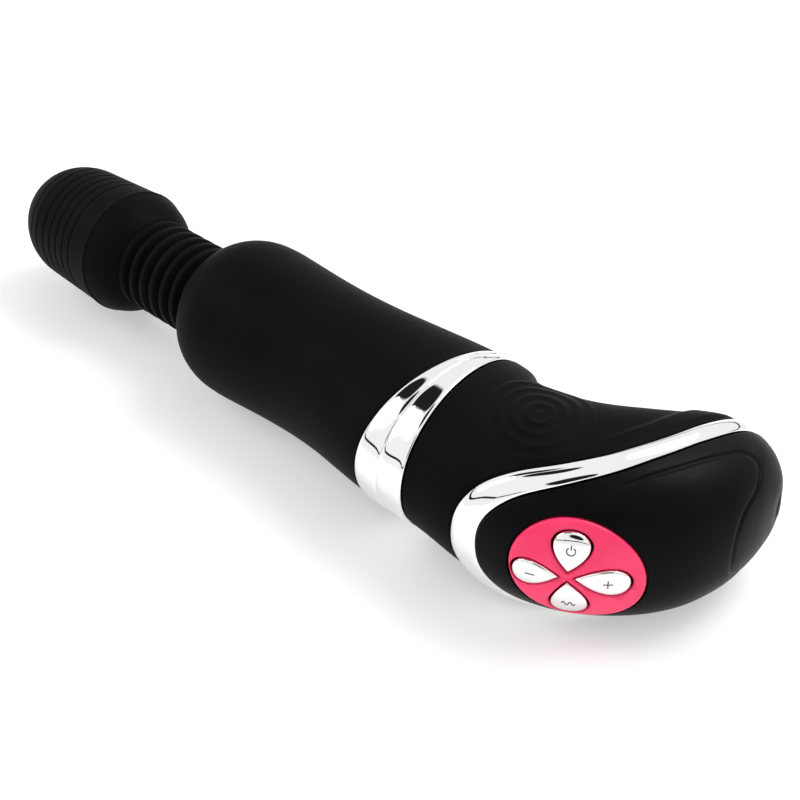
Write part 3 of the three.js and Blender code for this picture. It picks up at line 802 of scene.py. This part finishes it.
def sign_lines(name):
    if name == "power_button":
        bend = np.radians(np.linspace(125, 415, 26))
        return [(0.85 * np.cos(bend), 0.85 * np.sin(bend)), (np.zeros(4), np.linspace(0.25, 1.25, 4))]
    if name == "mode_button":
        run = np.linspace(-1.3, 1.3, 26)
        return [(run, 0.45 * np.sin(run * 2 * np.pi / 1.3))]
    bars = [(np.linspace(-0.95, 0.95, 4), np.zeros(4))]
    return bars + ([(np.zeros(4), np.linspace(-0.95, 0.95, 4))] if name == "plus_button" else [])


def join_into(item, others):
    with bpy.context.temp_override(
            active_object=item, selected_objects=[item, *others], selected_editable_objects=[item, *others]):
        bpy.ops.object.join()


for name in PETALS:
    u, v, mu, mv = petal_outline(name)
    rings = [on_face(mu + (u - mu) * s, mv + (v - mv) * s, h) for s, h in PETAL_RISE]
    stem_turn = np.arctan2(v - mv, u - mu)
    stem_u, stem_v = mu + STEM_RADIUS * np.cos(stem_turn), mv + STEM_RADIUS * np.sin(stem_turn)
    stem = [on_face(stem_u, stem_v, h) for h in (STEM_END, -SKIN)]
    petal = mesh_from_rings(f"{name}_petal", [*stem, *rings], FINISH["chrome"], loop=False)
    signs = [mesh_from_rings("sign", strip(mu + du, mv + dv), SIGN_FINISH, loop=False)
             for du, dv in sign_lines(name)]
    join_into(petal, signs)
    settle(petal, name, "chrome", name)

# %% [markdown]
# ## Grooves that repeat along the axis
# The neck is a soft bellows with one groove every four millimetres, and the head has fine grooves
# every three. One Geometry Nodes tree makes both. For each point it finds the nearest groove and
# moves the point towards the axis, by more the nearer it is. The inputs are the first groove, the
# pitch, the count, the depth and the half width, so one rule serves both pieces.

# %% The groove tree
def new_tree(name, *inputs):
    """an empty tree whose inputs are a geometry, the named ones and a finish"""
    tree = bpy.data.node_groups.new(name, "GeometryNodeTree")
    for label, kind in (("Geometry", "Geometry"), *inputs, ("Finish", "Material")):
        tree.interface.new_socket(label, in_out="INPUT", socket_type="NodeSocket" + kind)
    tree.interface.new_socket("Geometry", in_out="OUTPUT", socket_type="NodeSocketGeometry")
    return tree, tree.nodes.new("NodeGroupInput"), tree.nodes.new("NodeGroupOutput")


def groove_tree():
    names = ("First", "Pitch", "Last Index", "Depth", "Half Width", "Axis Y", "Axis Z")
    tree, entry, leave = new_tree("ring_grooves", *((name, "Float") for name in names))

    def maths(kind, a, b=None, c=None):
        node = tree.nodes.new("ShaderNodeMath")
        node.operation = kind
        for socket, value in zip(node.inputs, (a, b, c)):
            if isinstance(value, (int, float)):
                socket.default_value = value
            elif value is not None:
                tree.links.new(value, socket)
        return node.outputs[0]

    where = tree.nodes.new("GeometryNodeInputPosition")
    split = tree.nodes.new("ShaderNodeSeparateXYZ")
    tree.links.new(where.outputs[0], split.inputs[0])
    from_first = maths("SUBTRACT", split.outputs[0], entry.outputs["First"])
    step = maths("DIVIDE", from_first, entry.outputs["Pitch"])
    nearest = maths("MINIMUM", maths("MAXIMUM", maths("ROUND", step), 0.0), entry.outputs["Last Index"])
    away = maths("MULTIPLY", maths("ABSOLUTE", maths("SUBTRACT", step, nearest)), entry.outputs["Pitch"])
    ease = tree.nodes.new("ShaderNodeMapRange")
    ease.interpolation_type = "SMOOTHSTEP"
    ease.inputs["To Min"].default_value = 1.0
    ease.inputs["To Max"].default_value = 0.0
    tree.links.new(away, ease.inputs["Value"])
    tree.links.new(entry.outputs["Half Width"], ease.inputs["From Max"])
    mark = tree.nodes.new("GeometryNodeInputNamedAttribute")
    mark.inputs["Name"].default_value = "outside"
    sunk = maths("MULTIPLY", maths("MULTIPLY", ease.outputs[0], entry.outputs["Depth"]),
                 mark.outputs["Attribute"])
    radial = tree.nodes.new("ShaderNodeCombineXYZ")
    tree.links.new(maths("SUBTRACT", entry.outputs["Axis Y"], split.outputs[1]), radial.inputs[1])
    tree.links.new(maths("SUBTRACT", entry.outputs["Axis Z"], split.outputs[2]), radial.inputs[2])
    unit = tree.nodes.new("ShaderNodeVectorMath")
    unit.operation = "NORMALIZE"
    tree.links.new(radial.outputs[0], unit.inputs[0])
    move = tree.nodes.new("ShaderNodeVectorMath")
    move.operation = "SCALE"
    tree.links.new(unit.outputs[0], move.inputs[0])
    tree.links.new(sunk, move.inputs["Scale"])
    shift = tree.nodes.new("GeometryNodeSetPosition")
    tree.links.new(entry.outputs["Geometry"], shift.inputs["Geometry"])
    tree.links.new(move.outputs[0], shift.inputs["Offset"])
    finish_with(tree, shift.outputs["Geometry"], entry.outputs["Finish"], leave)
    return tree


def finish_with(tree, geometry, finish, leave):
    """every tree ends the same way: real meshes, then the finish"""
    real = tree.nodes.new("GeometryNodeRealizeInstances")
    paint = tree.nodes.new("GeometryNodeSetMaterial")
    tree.links.new(geometry, real.inputs["Geometry"])
    tree.links.new(real.outputs["Geometry"], paint.inputs["Geometry"])
    tree.links.new(finish, paint.inputs["Material"])
    tree.links.new(paint.outputs["Geometry"], leave.inputs[0])


def run_tree(item, tree, **values):
    """sets each named input by its identifier, then keeps the result as a plain mesh"""
    modifier = item.modifiers.new("tree", "NODES")
    modifier.node_group = tree
    for socket in tree.interface.items_tree:
        if socket.in_out == "INPUT" and socket.name in values:
            modifier[socket.identifier] = values[socket.name]
    made = keep_result(item, modifier)
    if "outside" in made.attributes:
        made.attributes.remove(made.attributes["outside"])
    made.polygons.foreach_set("use_smooth", [True] * len(made.polygons))
    print(f"{item.name}: {len(made.polygons)} faces after the tree")
    return item


GROOVES = groove_tree()
AXIS = {"Axis Y": float(HOME[1]), "Axis Z": float(HOME[2])}

# %% [markdown]
# ## The bellows of the neck
# The neck bends in two places, so the model splits the bellows at the bottoms of two grooves, where
# a split can't be seen. The middle rib rides on the link between the joints, and the two outer
# stretches stay where they are built.

# %% The three stretches of the bellows
NECK = {"around": 144, "rib": 11.7, "bore": 7.6, "step": 0.14, "bore_rings": 14}


def turned_ring(x, radius, count):
    turn_at = np.linspace(0, 2 * np.pi, count, endpoint=False)
    return np.stack([np.full(count, float(x)), radius * np.cos(turn_at), radius * np.sin(turn_at)], -1)


def bellows(name, start, end):
    xs = np.linspace(start, end, int((end - start) / NECK["step"]) + 2)
    back = np.linspace(end, start, NECK["bore_rings"])
    rings = [turned_ring(x, NECK["rib"], NECK["around"]) for x in xs]
    rings += [turned_ring(x, NECK["bore"], NECK["around"]) for x in back]
    item = mesh_from_rings(name, rings, FINISH["silicone"], outside=[1.0] * len(xs) + [0.0] * len(back))
    return run_tree(item, GROOVES, **AXIS, **{
        "First": float(HOME[0] - 98.7 * MM), "Pitch": 4.0 * MM, "Last Index": 5.0,
        "Depth": 2.0 * MM, "Half Width": 1.45 * MM, "Finish": FINISH["silicone"]})


def on_axis(x):
    return tuple(placed([x, 0, 0]))


def bend(item, a, b, start, end, slot, *nodes):
    on_axis(start)
    on_axis(end)
    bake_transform(item)
    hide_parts(*nodes)


FRONT_BEND, REAR_BEND = (-101.2, -91.0), (-86.4, -76.8)
bend(bellows("bellows_at_head", -101.7, -90.72), "head", "neck_link", *FRONT_BEND,
     "silicone", "bellows_front")
settle(bellows("bellows_rib_between", -90.68, -86.72), "neck_link", "silicone", "bellows_middle")
bend(bellows("bellows_at_body", -86.68, -76.1), "neck_link", "front_body", *REAR_BEND,
     "silicone", "bellows_rear")

# %% [markdown]
# ## The springs and the lead inside the neck
# A coil spring on each side of the link brings the neck back to straight, and a twisted pair feeds
# the motor. Both are a line that winds round the axis with a round wire swept along it, so a second
# tree makes them: a spiral curve, a circle for the wire, and Curve to Mesh.

# %% The coil tree
def coil_tree():
    names = ("Turns", "Radius", "Length", "Wire Radius", "Strands")
    tree, entry, leave = new_tree("wound_wire", *((name, "Float") for name in names), ("Place", "Vector"))
    spiral = tree.nodes.new("GeometryNodeCurveSpiral")
    spiral.inputs["Resolution"].default_value = 40
    tree.links.new(entry.outputs["Turns"], spiral.inputs["Rotations"])
    tree.links.new(entry.outputs["Radius"], spiral.inputs["Start Radius"])
    tree.links.new(entry.outputs["Radius"], spiral.inputs["End Radius"])
    tree.links.new(entry.outputs["Length"], spiral.inputs["Height"])
    wire = tree.nodes.new("GeometryNodeCurvePrimitiveCircle")
    wire.inputs["Resolution"].default_value = 12
    tree.links.new(entry.outputs["Wire Radius"], wire.inputs["Radius"])
    sweep = tree.nodes.new("GeometryNodeCurveToMesh")
    sweep.inputs["Fill Caps"].default_value = True
    tree.links.new(spiral.outputs["Curve"], sweep.inputs["Curve"])
    tree.links.new(wire.outputs["Curve"], sweep.inputs["Profile Curve"])
    points = tree.nodes.new("GeometryNodeMeshLine")
    tree.links.new(entry.outputs["Strands"], points.inputs["Count"])
    points.inputs["Offset"].default_value = (0, 0, 0)
    index = tree.nodes.new("GeometryNodeInputIndex")
    share = tree.nodes.new("ShaderNodeMath")
    share.operation = "MULTIPLY"
    share.inputs[1].default_value = math.pi
    tree.links.new(index.outputs[0], share.inputs[0])
    turn_of = tree.nodes.new("ShaderNodeCombineXYZ")
    tree.links.new(share.outputs[0], turn_of.inputs[2])
    copies = tree.nodes.new("GeometryNodeInstanceOnPoints")
    tree.links.new(points.outputs["Mesh"], copies.inputs["Points"])
    tree.links.new(sweep.outputs["Mesh"], copies.inputs["Instance"])
    tree.links.new(turn_of.outputs[0], copies.inputs["Rotation"])
    lay = tree.nodes.new("GeometryNodeTransform")
    lay.inputs["Rotation"].default_value = (0, math.pi / 2, 0)
    tree.links.new(copies.outputs["Instances"], lay.inputs["Geometry"])
    tree.links.new(entry.outputs["Place"], lay.inputs["Translation"])
    finish_with(tree, lay.outputs["Geometry"], entry.outputs["Finish"], leave)
    return tree


WOUND = coil_tree()


def wound(name, start, end, turn_count, radius, wire, strands, finish):
    item = bpy.data.objects.new(name, bpy.data.meshes.new(name))
    scene.collection.objects.link(item)
    return run_tree(item, WOUND, **{
        "Turns": float(turn_count), "Radius": radius * MM, "Length": (end - start) * MM,
        "Wire Radius": wire * MM, "Strands": float(strands), "Place": on_axis(start), "Finish": finish})


SPRING = (5, 5.6, 0.5, 1, FINISH["steel"])
LEAD = (3, 0.75, 0.7, 2, FINISH["wire"])
bend(wound("spring_at_head", -101.2, -90.9, *SPRING), "head", "neck_link", *FRONT_BEND,
     "steel", "neck_spring_front")
bend(wound("spring_at_body", -86.5, -76.6, *SPRING), "neck_link", "front_body", *REAR_BEND,
     "steel", "neck_spring_rear")
bend(wound("motor_pair_at_head", -109.6, -89.0, *LEAD), "head", "neck_link", *FRONT_BEND,
     "wire", "motor_lead_front")
bend(wound("motor_pair_at_body", -88.4, -67.6, *LEAD), "neck_link", "front_body", *REAR_BEND,
     "wire", "motor_lead_rear")

# %% [markdown]
# ## The head
# The head is a soft cap over the motor: a domed front, fine grooves round the straight part, a raised
# line where it is widest, and a shoulder that drops to the neck. It is turned like a vase.

# %% The head skin
def head_profile():
    start, end, radius, dome_long, flare = -131.1, -111.6, 15.3, 17.0, 0.85
    sweep = np.radians(np.linspace(2.5, 90, 60))
    rows = [(start - dome_long * math.cos(t), radius * math.sin(t)) for t in sweep]
    rows += [(x, radius + (x - start) / (end - start) * flare) for x in np.linspace(start, end, 150)[1:]]
    line = smooth_line([(-111.4, 16.15), (-111.1, 16.3), (-110.7, 16.3), (-110.2, 16.0), (-108.6, 15.6),
                        (-106.6, 14.9), (-104.6, 13.8), (-103.2, 12.7), (-102.4, 12.0), (-102.0, 11.5)])
    return rows + [tuple(p) for p in line(np.linspace(0, 1, 60))]


HEAD_AROUND = 192
outer = head_profile()
inner_back = [(-102.0, 9.3), (-103.8, 9.2), (-106.4, 11.4), (-108.4, 13.6), (-111, 14.4), (-122, 14.1)]
inner_dome = [(-133.1 - 13.3 * math.sin(t), 13.7 * math.cos(t)) for t in np.radians(np.linspace(0, 86, 14))]
profile = outer + inner_back + inner_dome
head = mesh_from_rings(
    "head_soft_cap", [turned_ring(x, r, HEAD_AROUND) for x, r in profile], FINISH["silicone"], loop=False,
    outside=[1.0] * len(outer) + [0.0] * (len(profile) - len(outer)))
run_tree(head, GROOVES, **AXIS, **{
    "First": float(HOME[0] - 135.5 * MM), "Pitch": 3.0 * MM, "Last Index": 6.0,
    "Depth": 0.22 * MM, "Half Width": 0.7 * MM, "Finish": FINISH["silicone"]})
settle(head, "head", "silicone", "head_skin")

# %% [markdown]
# ## The skin of the front body
# The front body swells behind the neck, narrows to a waist and widens to the chrome ring. Each
# section is an ellipse. The rings of points lean, so that the last one lies along the slanting
# front edge of the chrome ring.

# %% The front skin
skin_end = np.interp(np.cos(angles) * 23.0, ring_points[:, 1], ring_points[:, 0]) - GAP
NOSE = -75.8
along = np.linspace(0, 1, 3000)
length = np.concatenate([[0], np.cumsum(np.linalg.norm(np.diff(station_points[:, :2], axis=0), axis=1))])
reach = np.interp(0.0, station_points[:, 0], length)
straight = np.interp(np.linspace(0, reach, 130), length, station_points[:, 0])
slanted = [NOSE + (x - NOSE) * (skin_end - LIP - NOSE) / (0 - NOSE) for x in straight]
rings = [body_surface(x, angles, 0.0) for x in slanted]
for share in LIP_SHARES[::-1]:
    drop, reach = lip(share)
    rings.append(body_surface(skin_end - reach, angles, drop))
rings.append(body_surface(skin_end, angles, -SKIN))
for share in np.linspace(0, 1, 16)[1:]:
    rings.append(body_surface(skin_end + (NOSE + 1.7 - skin_end) * share, angles, -SKIN))
NECK_MOUTH = [(-74.3, 10.5), (-74.3, 9.0), (-75.6, 8.8), (-75.85, 9.1), (-75.9, 10.4), (-75.88, 11.4)]
rings += [turned_ring(x, radius, AROUND) for x, radius in NECK_MOUTH]
front_skin = mesh_from_rings("front_soft_skin", rings, FINISH["silicone"])
settle(front_skin, "front_body", "silicone", "front_skin")

# %% [markdown]
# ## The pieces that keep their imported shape
# Cores, cells, plates, the motor, the board and its screws are already right as solids. They keep
# their meshes, and only their finish changes.

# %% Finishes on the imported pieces
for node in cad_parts.values():
    for holder in node.material_slots:
        holder.material = FINISH.get(node["kind"], FINISH["plastic"])
    del node["kind"]
print("packed pieces still shown:", sum(not n.hide_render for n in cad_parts.values()))

# %% [markdown]
# ## The floor
# The floor is a broad pale sheet. Its tone drifts by a hair, as paper does. It also has a painted
# glow, an emission though it is no lamp, which lifts the shadow beside the wand and keeps it faint.

# %% The floor sheet
# the floor's glow strength is painted light: it lifts the wand's shadow on the floor
FLOOR, FLOOR_PAINTED_GLOW = 3.0, 0.42
floor_mesh = bpy.data.meshes.new("studio_floor")
floor_mesh.from_pydata([(-FLOOR, -FLOOR, 0), (FLOOR, -FLOOR, 0), (FLOOR, FLOOR, 0), (-FLOOR, FLOOR, 0)],
                       [], [(0, 1, 2, 3)])
floor = bpy.data.objects.new("studio_floor", floor_mesh)
scene.collection.objects.link(floor)
# painted glow: the floor's emission lifts the wand's shadow on it
paper = grained_finish("pale_paper", (0.60, 0.60, 0.60), (0.62, 0.62, 0.62), (0.8, 0.9), 4, 300, 0.01,
                       Emission_Strength=FLOOR_PAINTED_GLOW)
shader = next(n for n in paper.node_tree.nodes if n.type == "BSDF_PRINCIPLED")
shader.inputs["Emission Color"].default_value = (1.0, 1.0, 1.0, 1.0)
floor_mesh.materials.append(paper)
